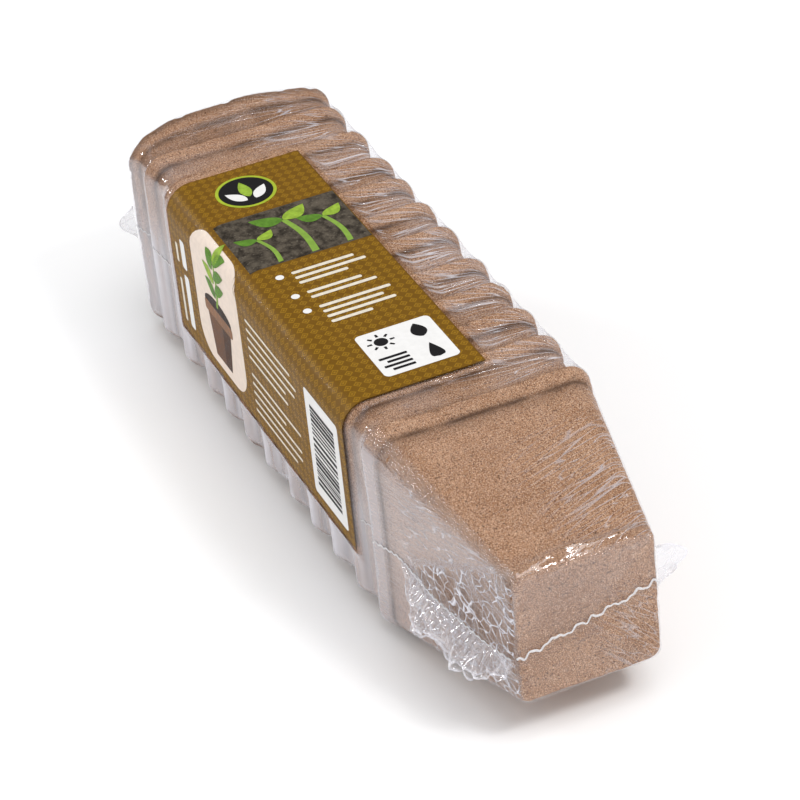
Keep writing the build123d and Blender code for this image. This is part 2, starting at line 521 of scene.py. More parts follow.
def lip_wave(index, points):
    """How far a pot's uneven lip shifts points along the stack."""
    near_lip = np.exp(-np.clip(points[:, 0] - RIMS[index], 0, None) / LIP_REACH)
    around = points * (0, 1, 1)
    seed = pot_seed(index) + 3
    wave = noise(around, 34 * MM, seed) * 1.1 + noise(around, 13 * MM, seed + 1) * 0.5
    return near_lip * wave * MM


GROOVE = 6.8 * MM
DARKEST = 0.85


def painted_crevice_shade(index, depth):
    """Painted shade on a pot's outside at a depth: in the groove under its lip, where the next pot's lip
    comes over it, and, for the rearmost pot, near its rim.
    """
    dark = DARKEST * np.exp(-((depth - GROOVE) / (1.0 * MM)) ** 2)
    dark += 0.34 * smooth(15 * MM, 7.5 * MM, depth) * (depth > GROOVE)
    if index > 0:
        room = RIMS[index - 1] - RIMS[index]
        dark += 0.6 * smooth(room - 8 * MM, room - 0.5 * MM, depth)
    if index == len(RIMS) - 1:
        dark += 0.6 * smooth(5 * MM, 1.5 * MM, depth)
    return np.clip(dark, 0, DARKEST)


def make_pot(index, node):
    """One fibre pot, with its own uneven lip and its own lumps."""
    seed = pot_seed(index)
    rim = RIMS[index]
    rings = pot_profile()
    rows = [POT_RING.points(rim + depth, half, corner) for depth, half, corner in rings]
    piece = grid_mesh(f"fibre_{node}", rows, first_cap=True, last_cap=True)
    points = vertex_values(piece, "co")
    normals = vertex_values(piece, "normal")
    lump = noise(points, 9 * MM, seed) * 0.16 + noise(points, 3.1 * MM, seed + 1) * 0.10
    lump += noise(points, 1.3 * MM, seed + 2) * 0.07
    torn = np.clip(noise(points * (0, 1, 1), 3.6 * MM, seed + 5) - 0.25, 0, 1)
    torn *= smooth(rim + 3.2 * MM, rim + 0.4 * MM, points[:, 0])
    # Painted shade in the groove under the lip and where the next lip comes over, plus dark torn spots at the
    # rim
    painted_shade_and_tears = np.concatenate([painted_crevice_shade(index, np.full(POT_RING.count, ring[0])) for ring in rings])
    painted_shade_and_tears = np.append(painted_shade_and_tears, (0, 0)) + 0.5 * torn
    painted_shade_and_tears *= np.clip(0.92 + 0.4 * noise(points, 7 * MM, seed + 6), 0.4, 1.1)
    painted_shade_and_tears *= smooth(0.62, 0.9, np.abs(points[:, 1:] - (AXIS_Y, AXIS_Z)).max(axis=1) / HALF)
    # Painted shade on the downward faces near the lip
    under = smooth(0.2, 0.5, -normals[:, 2]) * smooth(rim + 9 * MM, rim + 6 * MM, points[:, 0])
    painted_shade_and_tears = np.maximum(painted_shade_and_tears, 0.6 * under)
    # Painted shade on the outermost pot's left wall, under the ear
    if index == 0:
        left = smooth(0.6, 0.9, -normals[:, 1])
        painted_shade_and_tears = np.maximum(painted_shade_and_tears, 0.36 * left * net_area(points[:, 0] - rim, points[:, 2]))
    points = points + normals * (lump - 0.12 - 1.1 * torn)[:, None] * MM
    points[:, 0] += lip_wave(index, points)
    if index == len(RIMS) - 1:
        points = rear_warp(points)
    set_points(piece, points)
    paint(piece, "painted_shade_and_tears", painted_shade_and_tears)
    dress(piece, FIBRE, BODY_OF[node], "fibre", node)


for pot_index, pot_node in enumerate(POT_NODES):
    make_pot(pot_index, pot_node)

# Film

FILM_RING = SquareRing(side_points=64, arc_points=18)
FILM_CORNER = RIM_CORNER + 0.2 * MM
FREE_LIFT = 0.3 * MM
CARD_LIFT = FILM_LEFT - 0.25 * MM - HALF
SAG = 2.6 * MM
SPLIT = 0.6 * MM
BAND_ROWS = 44
GATHER = 0.68

# How cloudy the film is: all over, on the labelled side, low on it, at the outermost lip, in webs at the
# right. On the labelled side this is partly the film's own haze and partly a painted reflection of the pale
# floor.
CLEAR_HAZE = 0.006
SIDE_HAZE_AND_REFLECTION = 0.17
LOW_HAZE_AND_REFLECTION = 0.48
LIP_HAZE_AND_REFLECTION = 0.36
WEB_HAZE = 0.45

# The film's outline at the lips, and where along it things lie
CARD_TOP_EDGE = CARD_HIGH.y - AXIS_Y
CARD_SIDE_EDGE = CARD_LOW.z - AXIS_Z
crest = FILM_RING.points(0, HALF, FILM_CORNER)
ring_y = crest[:, 1] - AXIS_Y
ring_z = crest[:, 2] - AXIS_Z
ring_steps = np.linalg.norm(np.diff(crest, axis=0), axis=1)
ring_run = np.concatenate([[0], np.cumsum(ring_steps)])
out_y, out_z = FILM_RING.out[:, 0], FILM_RING.out[:, 1]
on_top = smooth(0.35, 0.75, out_z) * smooth(CARD_TOP_EDGE + 7 * MM, CARD_TOP_EDGE, ring_y)
on_side = smooth(0.35, 0.75, -out_y) * smooth(CARD_SIDE_EDGE - 7 * MM, CARD_SIDE_EDGE, ring_z)
on_fold = ((out_y < -0.05) & (out_z > 0.05)).astype(float)
over_card = np.maximum(np.maximum(on_top, on_side), on_fold)
over_print = (over_card > 0.9).astype(float)
left_side = smooth(0.3, 0.9, -out_y)
right_side = smooth(0.3, 0.9, out_y)
flat_left = np.flatnonzero(out_y < -0.999)
low_left = left_side * smooth(26 * MM, -4 * MM, ring_z)
corner_run = ring_run[np.argmax(out_y + out_z)]
from_corner = np.abs(ring_run - corner_run)
near_right = smooth(48 * MM, 6 * MM, from_corner)
upper_left = smooth(0.15, 0.5, -out_y) * smooth(0.15, 0.5, out_z)
left_face = smooth(0.8, 0.98, -out_y)
upward = smooth(-0.5, -0.12, out_z)
right_edge = smooth(0.45, 0.85, out_y)


def card_span(x, fade=3 * MM):
    """1 over the card's length, falling to 0 past its ends."""
    return float(smooth(CARD_LOW.x - fade, CARD_LOW.x, x) * smooth(CARD_HIGH.x + fade, CARD_HIGH.x, x))


def film_paint(piece, haze, net, gloss, flow):
    """Stores what the film's material reads. A cap's middle point takes the last values."""
    count = len(piece.data.vertices)
    for name, values in (("haze", haze), ("net", net), ("gloss", gloss)):
        values = np.concatenate([np.ravel(v) for v in values])
        paint(piece, name, np.append(values, values[-1])[:count])
    flow = np.concatenate(flow)
    paint(piece, "flow", np.vstack([flow, flow[-1:]])[:count])


def weld_strip(name, route, outward, width, body):
    """A flat bead of melted film along a route."""
    route = np.asarray(route)
    along = np.gradient(route, axis=0)
    along /= np.linalg.norm(along, axis=1)[:, None]
    outward = np.broadcast_to(outward, route.shape)
    sideways = np.cross(along, outward)
    uneven = 1 + 0.3 * noise(route, 2.3 * MM, 31)
    rows = []
    for angle in np.linspace(0, 2 * math.pi, 9)[:-1]:
        spread = sideways * math.cos(angle) + outward * math.sin(angle) * 0.6
        rows.append(route + spread * (uneven * width)[:, None])
    piece = grid_mesh(name, np.stack(rows, 1), first_cap=True, last_cap=True)
    dress(piece, WELD, body, "film")


def make_band(index):
    """The film from one inner pot's lip, down into the groove in front of it, up to the next lip."""
    node = f"film_band_{index + 1:02d}"
    is_last = index == len(RIMS) - 1
    rim, following = RIMS[index], RIMS[index - 1]
    start, end = rim + SPLIT, following + SPLIT - 0.02 * MM
    leave = rim + CREST
    rows, looks, weld = [], [], []
    gather = rim + GATHER * (following - rim)
    for x in np.linspace(start, end, BAND_ROWS):
        share = np.clip((x - leave) / (end - leave), 0, 1)
        dip = math.sin(math.pi * share ** 1.25) ** 0.75 if 0 < share < 1 else 0.0
        span = card_span(x)
        covered, hidden = over_card * span, over_print * span
        lift = FREE_LIFT + (CARD_LIFT - FREE_LIFT) * over_card * card_span(x, 14 * MM)
        where = columns(x, ring_y, ring_z)
        uneven = 1 + 0.5 * noise(where, 22 * MM, 70 + index)
        fan = (x - gather) / (0.16 * from_corner + 2 * MM)
        fanned = columns(fan * 4, from_corner / (22 * MM), 0)
        crease = noise(fanned, 1.0, 90 + index)
        sag = (SAG * (1 - 0.6 * right_edge) + 0.7 * MM * low_left) * dip * uneven
        sag += crease * 0.25 * MM * dip ** 0.5
        sag = (1 - covered) * np.minimum(sag, HALF - film_rest(x - rim))
        pucker = upper_left * (1 - hidden) * noise(where, 2.1 * MM, 55) * 0.22 * MM
        points = FILM_RING.points(x, HALF, FILM_CORNER, lift - sag + np.clip(pucker, 0, None))
        onward = smooth(0.35, 1.0, (x - rim) / (following - rim))
        points[:, 0] += lip_wave(index, points) * (1 - onward) + lip_wave(index - 1, points) * onward
        rows.append(points)
        web = WEB_HAZE * right_edge * near_right * smooth(0.35, 0.75, share) * (0.6 + 0.4 * crease)
        sheen = (0.03 if is_last else 0.11) * dip * (1 - left_side)
        sheen = sheen * np.clip(0.2 + noise(where, 15 * MM, 81), 0, 1)
        drawn = noise(where / (2.4 * MM, 30 * MM, 24 * MM), 1.0, 83)
        # Partly the film's own haze, partly a painted reflection of the pale floor on the labelled side
        milk_and_reflection = SIDE_HAZE_AND_REFLECTION * left_face + LOW_HAZE_AND_REFLECTION * low_left * (1 - 0.5 * dip)
        haze = CLEAR_HAZE + milk_and_reflection * upward * (0.9 + 0.5 * drawn) + sheen + web
        streak = (0.08 + 0.6 * near_right * (1 - 0.6 * right_side)) * (1 - 0.8 * left_side)
        net = streak * (0.3 + 0.7 * dip)
        shiny = (1 - 0.65 * right_side) * (0.4 + 0.6 * np.maximum(upper_left, left_side))
        gloss = (1 - 0.995 * hidden) * shiny * (0.2 + 0.8 * upward)
        flow = columns(fan * 3.0, from_corner / (30 * MM), index * 3.7)
        looks.append((haze * (1 - hidden), net * (1 - hidden), gloss, flow))
        if span > 0.01:
            continue
        side = points[flat_left]
        height = weld_height(x)
        order = np.argsort(side[:, 2])
        weld.append((x, np.interp(height, side[order, 2], side[order, 1]) - 0.1 * MM, height))
    rows = np.array(rows)
    weld = np.array(weld)
    if is_last:
        rows = rear_warp(rows.reshape(-1, 3)).reshape(rows.shape)
        weld = rear_warp(weld)
    piece = grid_mesh(f"wrap_band_{index + 1:02d}", rows)
    film_paint(piece, *zip(*looks))
    dress(piece, FILM, BODY_OF[node], "film", node)
    if len(weld) > 4:
        weld_strip(f"weld_{index + 1:02d}", weld, (0, -1, 0), 0.28 * MM, BODY_OF[node])


for band_index in range(1, len(RIMS)):
    make_band(band_index)

FRONT_GAP = 0.35 * MM
FRONT_TOUCH = 12 * MM
FRONT_EDGE = 1.6 * MM
EAR_TENT = 2.4 * MM


def front_profile():
    """Depth, half width, corner and lift of each ring of the film over the outermost pot."""
    rings = []
    for depth in np.linspace(SPLIT, FRONT_TOUCH, 22):
        rings.append((depth, film_rest(depth), min(FILM_CORNER, wall_corner(depth) + FRONT_GAP), FREE_LIFT))
    for depth in np.linspace(FRONT_TOUCH, HEIGHT - FRONT_EDGE, 80)[1:]:
        rings.append((depth, wall_half(depth) + FRONT_GAP, wall_corner(depth) + FRONT_GAP, 0.0))
    turn = FRONT_EDGE + FRONT_GAP
    for angle in np.linspace(0, math.pi / 2, 9)[1:]:
        half = BASE_HALF + FRONT_GAP - turn * (1 - math.cos(angle)) * 0.8
        rings.append((HEIGHT - FRONT_EDGE + turn * math.sin(angle), half, BASE_CORNER, 0.0))
    edge_half = rings[-1][1]
    for share in np.linspace(1, 0.03, 48)[1:]:
        rings.append((HEIGHT + FRONT_GAP, edge_half * share, BASE_CORNER * share, 0.0))
    return rings


def ear_shape(depth):
    """How far the front left ear and the film under it stand off along the outermost pot, from 0 to 1."""
    return smooth(12 * MM, 40 * MM, depth) * (1 - 0.5 * smooth(60 * MM, 75 * MM, depth))


def front_lift(depth, plain, crumple, on_wall, on_base):
    """How far a ring of the front film stands off: under the ear, in its net and at the base's edge."""
    above_weld = (plain[:, 2] - weld_height(RIMS[0] + depth)) / MM
    tent = EAR_TENT * np.exp(-(above_weld / 7) ** 2) * ear_shape(depth) * left_side
    slack = noise(plain, 3.6 * MM, 41) * 0.42 * MM * left_side * net_area(depth, plain[:, 2])
    edge = np.clip(crumple, -0.3, 1) * 0.3 * MM * smooth(HEIGHT - 7 * MM, HEIGHT - 1.5 * MM, depth)
    across = plain * (0, 1, 0)
    centre = HEIGHT - (3.6 + 1.2 * noise(across, 9 * MM, 45)) * MM
    puff = np.clip(0.95 + 1.3 * noise(across, 6.5 * MM, 46), 0, 1.6) * smooth(0.6, 0.95, out_z)
    edge += puff * 1.15 * MM * np.exp(-((depth - centre) / (1.8 * MM)) ** 2)
    pucker = upper_left * noise(plain, 2.0 * MM, 55) * 0.32 * MM
    return slack * on_wall + (tent + edge + np.clip(pucker, 0, None)) * (1 - on_base)


def front_looks(depth, plain, on_wall, on_base):
    """Haze, net, gloss and flow of a ring of the front film."""
    x, y, z = plain.T
    right, up = y - AXIS_Y, z - AXIS_Z
    lower = net_area(depth, z)
    off_base = 1 - on_base
    upper_base = on_base * smooth(-8 * MM, 16 * MM, up)
    low_right = on_base * smooth(-4 * MM, 18 * MM, right) * (1 - upper_base)
    top_right = smooth(0.5, 0.9, out_z) * smooth(-12 * MM, 22 * MM, right) * smooth(16 * MM, 36 * MM, depth)
    near_edge = smooth(HEIGHT - 9 * MM, HEIGHT - 4 * MM, depth) * smooth(0.5, 0.9, out_z) * off_base
    # Partly the film's own haze, partly a painted reflection of the pale floor on the labelled side
    milk_and_reflection = (SIDE_HAZE_AND_REFLECTION - 0.16 * lower) * on_wall + LIP_HAZE_AND_REFLECTION * smooth(9 * MM, 5 * MM, depth)
    haze = CLEAR_HAZE + left_face * off_base * milk_and_reflection + 0.012 * on_base + 0.06 * upper_base
    netted = left_face * smooth(12 * MM, 24 * MM, depth) * (0.34 + 0.66 * lower)
    net = (netted + 0.4 * top_right + 0.16 * right_edge) * on_wall + 0.3 * low_right + 0.02
    gloss = (1 - 0.5 * right_side) * (0.55 + 0.45 * np.maximum(left_side, on_base))
    gloss += 1.2 * near_edge + 0.8 * upper_left * off_base
    cells = columns(x / 4.2, y / 9, (z + 0.35 * x) / 2.7)
    folds = columns(x / 15, y / 9, (z - 0.1 * x) / 1.7)
    lines = columns((x + 0.3 * y) / 2.2, y / 22, z / 9)
    slants = columns((y + z) / 2.6, (y - z) / 18, x / 9)
    patch = smooth(0.3, 0.6, lower)[:, None]
    kind = left_side[:, None] * off_base
    left = cells * patch + folds * (1 - patch)
    flow = (left * kind + lines * (1 - kind) * off_base + slants * on_base) / MM
    return haze, net, gloss, flow


def make_front_film():
    """The film over the outermost pot: off its lip, along its walls, round its base."""
    rows, looks = [], []
    for depth, half, corner, lift in front_profile():
        plain = FILM_RING.points(RIMS[0] + depth, half, corner)
        on_wall = smooth(4 * MM, FRONT_TOUCH, depth) * smooth(HEIGHT + 0.3 * MM, HEIGHT - 1 * MM, depth)
        on_base = smooth(HEIGHT - 0.5 * MM, HEIGHT + 0.2 * MM, depth)
        crumple = noise(plain, 3.2 * MM, 43) + 0.6 * noise(plain, 1.5 * MM, 44)
        lifted = lift + front_lift(depth, plain, crumple, on_wall, on_base)
        points = FILM_RING.points(RIMS[0] + depth, half, corner, lifted)
        points[:, 0] += lip_wave(0, points) * (1 - on_base) * smooth(60 * MM, 20 * MM, depth)
        from_axis = np.abs(plain[:, 1:] - (AXIS_Y, AXIS_Z)).max(axis=1)
        puffed = 0.18 + 0.4 * smooth(0.8 * BASE_HALF, BASE_HALF, from_axis)
        points[:, 0] += on_base * np.clip(crumple, -0.4, 1) * puffed * MM
        rows.append(points)
        looks.append(front_looks(depth, plain, on_wall, on_base))
    piece = grid_mesh("wrap_front", rows, last_cap=True)
    film_paint(piece, *zip(*looks))
    dress(piece, FILM, BODY_OF["film_front"], "film", "film_front")


make_front_film()


def front_left(depth):
    """A point on the film where the weld crosses the outermost pot's left wall."""
    half = np.where(depth < FRONT_TOUCH, film_rest(depth), wall_half(depth))
    out = half + FRONT_GAP + EAR_TENT * ear_shape(depth) + 0.15 * MM
    return np.stack([RIMS[0] + depth, AXIS_Y - out, weld_height(RIMS[0] + depth)], -1)


def make_front_weld():
    """The weld along the outermost pot's left wall, and its wavy run across the base."""
    depth = np.linspace(1 * MM, HEIGHT - 1.5 * MM, 220)
    weld_strip("weld_wall", front_left(depth), (0, -1, 0), 0.35 * MM, BODY_OF["film_front"])
    y = np.linspace(-BASE_HALF - 0.8 * MM, BASE_HALF + 0.5 * MM, 260)
    run = y / MM
    wander = 1.6 * np.sin(2 * math.pi * run / 23)
    wave = 0.8 * np.sin(2 * math.pi * run / 6.9 + wander) + 0.25 * np.sin(run * 2.3)
    height = 41.0 * MM + 0.245 * y + wave * MM
    route = columns(BASE_X + FRONT_GAP + 0.35 * MM, AXIS_Y + y, height)
    weld_strip("weld_base", route, (1, 0, 0), 0.4 * MM, BODY_OF["film_front"])


make_front_weld()


def make_end_film():
    """The film drawn across the open mouth at the rear."""
    rim = RIMS[-1]
    profile = ((0.58, 0.03), (0.3, 0.12), (0.1, 0.3), (-0.08, 0.6), (-0.2, 1.1), (-0.28, 1.8), (-0.3, 2.6))
    rows = []
    for depth, drop in profile:
        rows.append(FILM_RING.points(rim + depth * MM, HALF - drop * MM, FILM_CORNER, FREE_LIFT))
    edge = HALF - profile[-1][1] * MM
    for share in np.linspace(1, 0.03, 46)[1:]:
        dish = 1.6 * MM * (1 - share ** 2)
        x = rim - 0.3 * MM + dish
        rows.append(FILM_RING.points(x, edge * share, FILM_CORNER * share, FREE_LIFT * share))
    for row in rows:
        row[:, 0] += lip_wave(len(RIMS) - 1, row)
    rows = np.array(rows)
    rows = rear_warp(rows.reshape(-1, 3)).reshape(rows.shape)
    piece = grid_mesh("wrap_end", rows, last_cap=True)
    points = vertex_values(piece, "co")
    middle = np.array([rim, AXIS_Y, AXIS_Z])
    spoke = np.arctan2(points[:, 2] - middle[2], points[:, 1] - middle[1])
    reach = np.linalg.norm(points - middle, axis=1)
    around = columns(np.cos(spoke), np.sin(spoke), reach / (400 * MM))
    pleated = smooth(39 * MM, 34 * MM, reach) * smooth(4 * MM, 26 * MM, reach)
    points[:, 0] += noise(around, 0.12, 5) * pleated * 0.5 * MM
    set_points(piece, points)
    inside = smooth(40 * MM, 36 * MM, reach)
    net = inside * smooth(8 * MM, 30 * MM, reach)
    net = net * np.clip(0.2 + 0.5 * noise(around, 0.3, 6), 0.04, 1)
    flow = around * (20, 20, 12)
    film_paint(piece, [0.04 * inside], [net], [np.ones(len(points))], [flow])
    dress(piece, FILM, BODY_OF["film_end"], "film", "film_end")
    make_end_weld(points)


def make_end_weld(points):
    """The weld across the mouth, lying on the points of the film there."""
    run = np.linspace(-HALF + 1 * MM, HALF - 1 * MM, 260)
    wave = 0.7 * MM * np.sin(run / (1.3 * MM) + np.sin(run / (5 * MM)))
    height = weld_height(RIMS[-1]) - 0.06 * (run + HALF) + wave
    route = columns(0, AXIS_Y + run, height)
    for spot in route:
        near = np.argsort(np.linalg.norm(points[:, 1:] - spot[1:], axis=1))[:4]
        spot[0] = points[near, 0].min() - 0.2 * MM
    route[1:-1, 0] = (route[:-2, 0] + route[1:-1, 0] + route[2:, 0]) / 3
    weld_strip("weld_end", route, (-1, 0, 0), 0.35 * MM, BODY_OF["film_end"])


make_end_film()


def make_ear(name, roots, tips, folds, body, seed, haze=0.04):
    """A crumpled ear of spare film between a line of roots and a line of tips."""
    shares = np.linspace(0, 1, 26)
    rows = np.array([roots * (1 - share) + tips * share for share in shares])
    along = np.gradient(rows, axis=1)
    outward = np.gradient(rows, axis=0)
    normal = np.cross(along, outward)
    normal /= np.linalg.norm(normal, axis=2)[:, :, None] + 1e-12
    flat = rows.reshape(-1, 3)
    bulge = noise(flat, 8 * MM, seed) * 1.6
    bulge += (0.5 - np.abs(noise(flat, 4.2 * MM, seed + 1))) * 1.2
    free = np.repeat(shares ** 0.6, rows.shape[1])
    flat = flat + normal.reshape(-1, 3) * (bulge * free * folds)[:, None]
    piece = grid_mesh(name, flat.reshape(rows.shape), around=False)
    count = len(flat)
    border = smooth(0.9, 0.98, np.repeat(shares, rows.shape[1]))
    veil = haze + 0.04 * free + 0.5 * border
    film_paint(piece, [veil], [np.full(count, 0.26)], [np.full(count, 1.6)], [flat / (5 * MM)])
    dress(piece, FILM, body, "film")


def make_ears():
    """The crumpled ears: two layers front left, one front right at the base, one rear left."""
    body = BODY_OF["film_front"]
    depth = np.linspace(15 * MM, HEIGHT - 0.5 * MM, 120)
    for layer, (reach, droop) in enumerate(((9.0, 8.0), (7.5, 9.0))):
        roots = front_left(depth) + np.array([0, 0.4, 0.2 - 0.5 * layer]) * MM
        ragged = 1 + 0.22 * noise(np.outer(depth, (1, 0, 0)), 4.5 * MM, 61 + layer)
        out = (ear_shape(depth) * ragged)[:, None]
        lean = np.sin(depth / (9 * MM))[:, None] * np.array([2.0, 0, 0]) * MM
        tips = roots + out * (np.array([0, -reach, -droop]) * MM + lean)
        make_ear(f"ear_front_left_{layer + 1}", roots, tips, 1.3 * MM, body, 201 + 10 * layer)
    run = np.linspace(0, 1, 40)
    roots = columns(BASE_X + 0.2 * MM, AXIS_Y + BASE_HALF, AXIS_Z + (3.5 + 15 * run) * MM)
    reach = 11 * np.sin(math.pi * run) ** 0.7 * MM
    tips = roots + columns(-2.5 * MM * run, reach, (1.2 + 4.5 * (0.5 - run)) * MM)
    make_ear("ear_front_right", roots, tips, 1.0 * MM, body, 231, 0.3)
    roots = columns(RIMS[-1] - 0.2 * MM, AXIS_Y - HALF - 0.4 * MM, AXIS_Z + (-3 + 16 * run) * MM)
    reach = 6 * np.sin(math.pi * run) ** 0.7 * MM
    tips = roots + columns(0, -reach, (0.5 - run) * 5 * MM)
    make_ear("ear_rear_left", roots, tips, 0.9 * MM, BODY_OF["film_end"], 241, 0.22)


make_ears()

# Label

CARD_RADIUS = 9.7 * MM
CARD_HALF = HALF + 0.5 * MM
CARD_THICKNESS = 0.3 * MM
CARD_TOP_FLAT = CARD_TOP_EDGE + CARD_HALF - CARD_RADIUS
CARD_FOLD = CARD_RADIUS * math.pi / 2
CARD_WIDTH = CARD_TOP_FLAT + CARD_FOLD + CARD_HALF - CARD_RADIUS - CARD_SIDE_EDGE
CARD_LENGTH = CARD_HIGH.x - CARD_LOW.x
INK_LAYER = 0.04 * MM


def on_card(u, v, lift=0.0):
    """Points on the card from mm of its sheet: u forward from its rear edge, v from its right edge."""
    u, v = np.asarray(u, float) * MM, np.asarray(v, float) * MM
    turn = np.clip((v - CARD_TOP_FLAT) / CARD_RADIUS, 0, math.pi / 2)
    down = np.clip(v - CARD_TOP_FLAT - CARD_FOLD, 0, None)
    across = np.clip(v, None, CARD_TOP_FLAT)
    y = CARD_TOP_EDGE - across - np.sin(turn) * (CARD_RADIUS + lift)
    z = CARD_HALF - CARD_RADIUS + np.cos(turn) * (CARD_RADIUS + lift) - down
    return np.stack([CARD_LOW.x + u, AXIS_Y + y, AXIS_Z + z], -1)


def make_card():
    """The folded card itself, closed all round."""
    u, v = np.linspace(0, CARD_LENGTH / MM, 60), np.linspace(0, CARD_WIDTH / MM, 200)
    around_v = np.concatenate([v, v[::-1]])
    lift = np.concatenate([0 * v, 0 * v - CARD_THICKNESS])
    rows = [on_card(np.full(len(around_v), at), around_v, lift) for at in u]
    piece = grid_mesh("card_sheet", rows)
    sheet = np.stack(np.meshgrid(u, around_v, indexing="ij"), -1).reshape(-1, 2)
    paint(piece, "sheet", columns(*sheet.T, 0))
    dress(piece, CARD, BODY_OF["label_card"], "card", "label_card")


make_card()


class Print:
    """Collects patches of ink on the card, one mesh for each colour."""

    def __init__(self):
        self.patches = {name: [] for name in PRINTS}

    def patch(self, ink, near, far, layer=1):
        """Fills between two lines of sheet points."""
        near, far = np.asarray(near, float), np.asarray(far, float)
        steps = max(2, math.ceil(np.abs(far - near).max() / 0.7))
        shares = np.linspace(0, 1, steps + 1)[:, None, None]
        sheet = near * (1 - shares) + far * shares
        self.patches[ink].append(on_card(sheet[..., 0], sheet[..., 1], layer * INK_LAYER))

    def panel(self, ink, u0, u1, v0, v1, corner=0.0, layer=1):
        """A rectangle with rounded corners."""
        ends = corner * (1 - np.cos(np.linspace(0, math.pi / 2, 9))) if corner else np.zeros(1)
        u = np.concatenate([u0 + ends, np.linspace(u0 + corner, u1 - corner, 12)[1:-1], (u1 - ends)[::-1]])
        room = np.clip(np.minimum(u - u0, u1 - u), 0, corner)
        inset = corner - np.sqrt(np.clip(corner ** 2 - (corner - room) ** 2, 0, None))
        self.patch(ink, columns(u, v0 + inset), columns(u, v1 - inset), layer)

    def oval(self, ink, u, v, along, across=None, layer=1):
        """A disc or an oval."""
        angle = np.linspace(0, math.pi, 33)
        reach = (across or along) * np.sin(angle)
        at = u - along * np.cos(angle)
        self.patch(ink, columns(at, v - reach), columns(at, v + reach), layer)

    def spine(self, root, tip, bend):
        """Shares from 0 to 1, the bent line from root to tip at each, and the direction across it."""
        root, tip = np.asarray(root, float), np.asarray(tip, float)
        t = np.linspace(0, 1, 17)[:, None]
        side = np.array([root[1] - tip[1], tip[0] - root[0]]) / np.linalg.norm(tip - root)
        return t, root + (tip - root) * t + side * bend * np.sin(math.pi * t), side

    def leaf(self, ink, root, tip, width, layer=1, bend=0.0, fullness=0.8):
        """A pointed leaf from root to tip, or a drop where its fullness lies near the root."""
        t, middle, side = self.spine(root, tip, bend)
        half = side * width / 2 * np.sin(math.pi * t ** fullness) ** 0.9
        self.patch(ink, middle - half, middle + half, layer)

    def stem(self, ink, root, tip, width, layer=1, bend=0.0):
        """A curved stalk from root to tip."""
        t, middle, side = self.spine(root, tip, bend)
        half = side * width / 2 * (1.15 - 0.3 * t)
        self.patch(ink, middle - half, middle + half, layer)

    def finish(self):
        """Makes one mesh of each colour's patches."""
        for ink, patches in self.patches.items():
            piece = sheets_mesh(f"ink_{ink}", patches)
            dress(piece, PRINTS[ink], BODY_OF["label_card"], "card")


